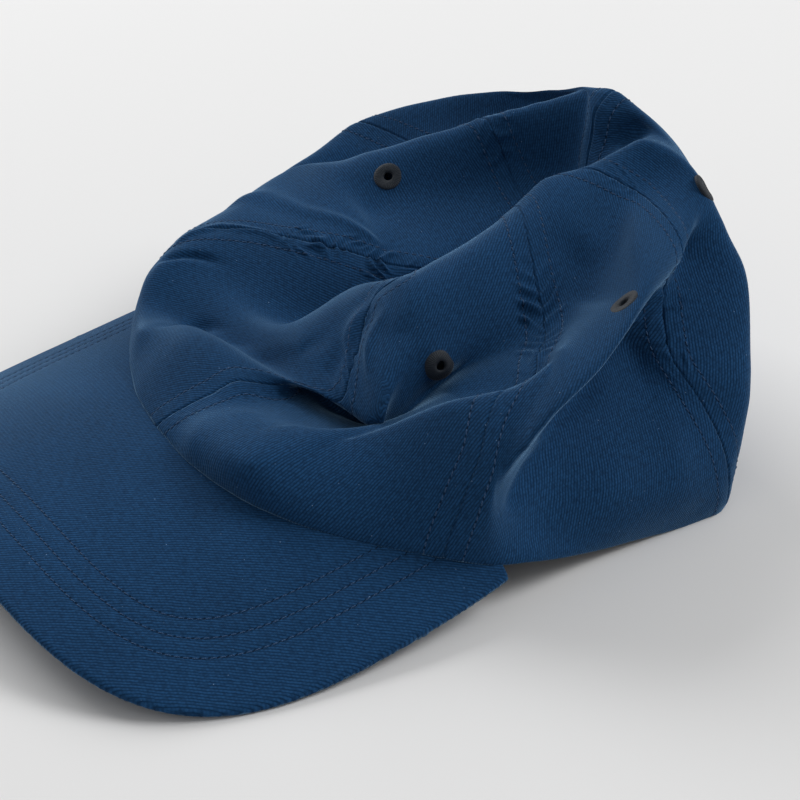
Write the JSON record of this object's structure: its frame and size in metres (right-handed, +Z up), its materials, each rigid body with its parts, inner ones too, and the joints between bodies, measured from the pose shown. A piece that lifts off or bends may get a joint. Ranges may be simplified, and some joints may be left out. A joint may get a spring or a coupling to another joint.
{
  "type": "six-panel cap",
  "caption": "Soft unstiffened cap of six stitched cloth panels with stitched eyelets and a curved stiff peak, lying on its rim with the crown slumped into folds.",
  "frame": {"origin": "middle of the bounding box's bottom, on the surface the cap lies on", "axes": "-Y out over the tip of the peak, +X towards the wearer's left, +Z up"},
  "size_m": [0.1944, 0.2364, 0.089],
  "materials": {
    "navy_twill": "matte cotton twill, navy",
    "eyelet_thread": "satin-stitched thread, dark navy"
  },
  "bodies": {
    "root": {"panel_front_left": "navy_twill", "eyelet_front_left": "eyelet_thread", "panel_side_left": "navy_twill", "eyelet_side_left": "eyelet_thread", "panel_rear_left": "navy_twill", "eyelet_rear_left": "eyelet_thread", "panel_rear_right": "navy_twill", "eyelet_rear_right": "eyelet_thread", "panel_side_right": "navy_twill", "eyelet_side_right": "eyelet_thread", "panel_front_right": "navy_twill", "eyelet_front_right": "eyelet_thread", "peak": "navy_twill"}
  },
  "joints": []
}
